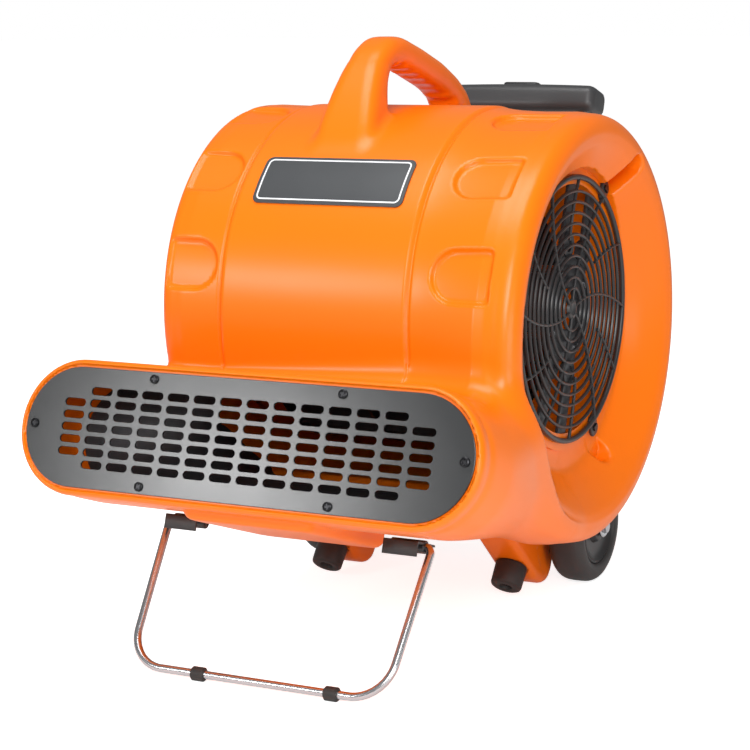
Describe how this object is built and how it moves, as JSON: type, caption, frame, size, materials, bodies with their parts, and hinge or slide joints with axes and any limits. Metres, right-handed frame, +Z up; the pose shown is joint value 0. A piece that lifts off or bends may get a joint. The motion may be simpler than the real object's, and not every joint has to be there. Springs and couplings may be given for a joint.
{
  "type": "air mover",
  "caption": "Drum-shaped floor dryer with a wide slotted outlet, round guarded inlets, carry handle, fold-out wire stand, tow wheels and telescopic tow handle.",
  "frame": {"origin": "on the floor, at the middle of the part's footprint box", "axes": "+Z up from the floor, +X along the drum to the user's right when facing the outlet, -Y the way the outlet blows"},
  "size_m": [0.464, 0.6552, 0.552],
  "materials": {
    "shell_orange": "satin moulded polyethylene",
    "plate_black": "satin",
    "label_black": "gloss",
    "label_silver": "satin",
    "guard_black": "satin",
    "grip_black": "fine texture",
    "screw_black": "black oxide",
    "steel": "machined",
    "motor_paint": "satin",
    "capacitor_shell": "satin",
    "rubber_black": "matt",
    "tyre_black": "matt",
    "bright_chrome": "bright",
    "tube_black": "satin",
    "breaker_red": "gloss",
    "lamp_red": "gloss"
  },
  "bodies": {
    "housing": {"housing_left": "shell_orange", "housing_right": "shell_orange", "carry_handle": "shell_orange", "outlet_seat": "shell_orange", "inlet_ring_left": "shell_orange", "inlet_ring_right": "shell_orange", "outlet_plate": "plate_black", "bracket_left": "plate_black", "bracket_right": "plate_black", "label_plate": "label_black", "label_border": "label_silver", "grille_left": "guard_black", "grille_right": "guard_black", "yoke_lower": "guard_black", "yoke_upper": "guard_black", "control_panel": "guard_black", "cable_gland": "guard_black", "plate_screws": "screw_black", "grille_screws": "screw_black", "yoke_screws": "screw_black", "panel_screws": "screw_black", "foot_screws": "screw_black", "motor_stator": "steel", "bearing_left": "steel", "bearing_right": "steel", "motor_studs": "steel", "wheel_axle": "steel", "motor_can": "motor_paint", "motor_bell_left": "motor_paint", "motor_bell_right": "motor_paint", "motor_spider": "motor_paint", "capacitor": "capacitor_shell", "motor_grommets": "rubber_black", "foot_left": "rubber_black", "foot_right": "rubber_black", "axle_caps": "bright_chrome", "breaker_collar": "bright_chrome", "outer_tube_left": "tube_black", "outer_tube_right": "tube_black", "indicator_lamp": "lamp_red"},
    "fan": {"fan_blades": "guard_black", "fan_disc": "guard_black", "fan_hub": "steel", "motor_shaft": "steel", "motor_core": "steel"},
    "wheel_left": {"tyre_left": "tyre_black", "hub_left": "guard_black"},
    "wheel_right": {"tyre_right": "tyre_black", "hub_right": "guard_black"},
    "kickstand": {"bail": "bright_chrome", "sleeve_left": "rubber_black", "sleeve_right": "rubber_black"},
    "tow_handle": {"inner_tube_left": "bright_chrome", "inner_tube_right": "bright_chrome", "grip": "grip_black"},
    "release": {"release_button": "grip_black"},
    "speed_switch": {"speed_knob": "guard_black"},
    "breaker": {"breaker_button": "breaker_red"}
  },
  "joints": [
    {"name": "fan_spin", "type": "hinge", "parent": "housing", "child": "fan", "pos_m": [0, 0.01676, 0.29559], "axis": [1, 0, 0], "continuous": true},
    {"name": "wheel_left_spin", "type": "hinge", "parent": "housing", "child": "wheel_left", "pos_m": [-0.144, 0.1137, 0.057], "axis": [1, 0, 0], "continuous": true},
    {"name": "wheel_right_spin", "type": "hinge", "parent": "housing", "child": "wheel_right", "pos_m": [0.144, 0.1137, 0.057], "axis": [1, 0, 0], "continuous": true},
    {"name": "kickstand_fold", "type": "hinge", "parent": "housing", "child": "kickstand", "pos_m": [0, -0.21143, 0.11968], "axis": [1, 0, 0], "range_deg": [0, 105]},
    {"name": "tow_handle_slide", "type": "slide", "parent": "housing", "child": "tow_handle", "axis": [0, 0.3584, 0.9336], "range_m": [0, 0.28]},
    {"name": "release_press", "type": "slide", "parent": "tow_handle", "child": "release", "axis": [0, -0.3584, -0.9336], "range_m": [0, 0.003], "stiffness_N_per_m": 1500, "springref_m": -0.001},
    {"name": "speed_turn", "type": "hinge", "parent": "housing", "child": "speed_switch", "pos_m": [0, 0.21152, 0.23368], "axis": [0, 0.9336, -0.3584], "range_deg": [0, 180]},
    {"name": "breaker_press", "type": "slide", "parent": "housing", "child": "breaker", "axis": [0, -0.9336, 0.3584], "range_m": [0, 0.0025], "stiffness_N_per_m": 800, "springref_m": -0.001}
  ]
}
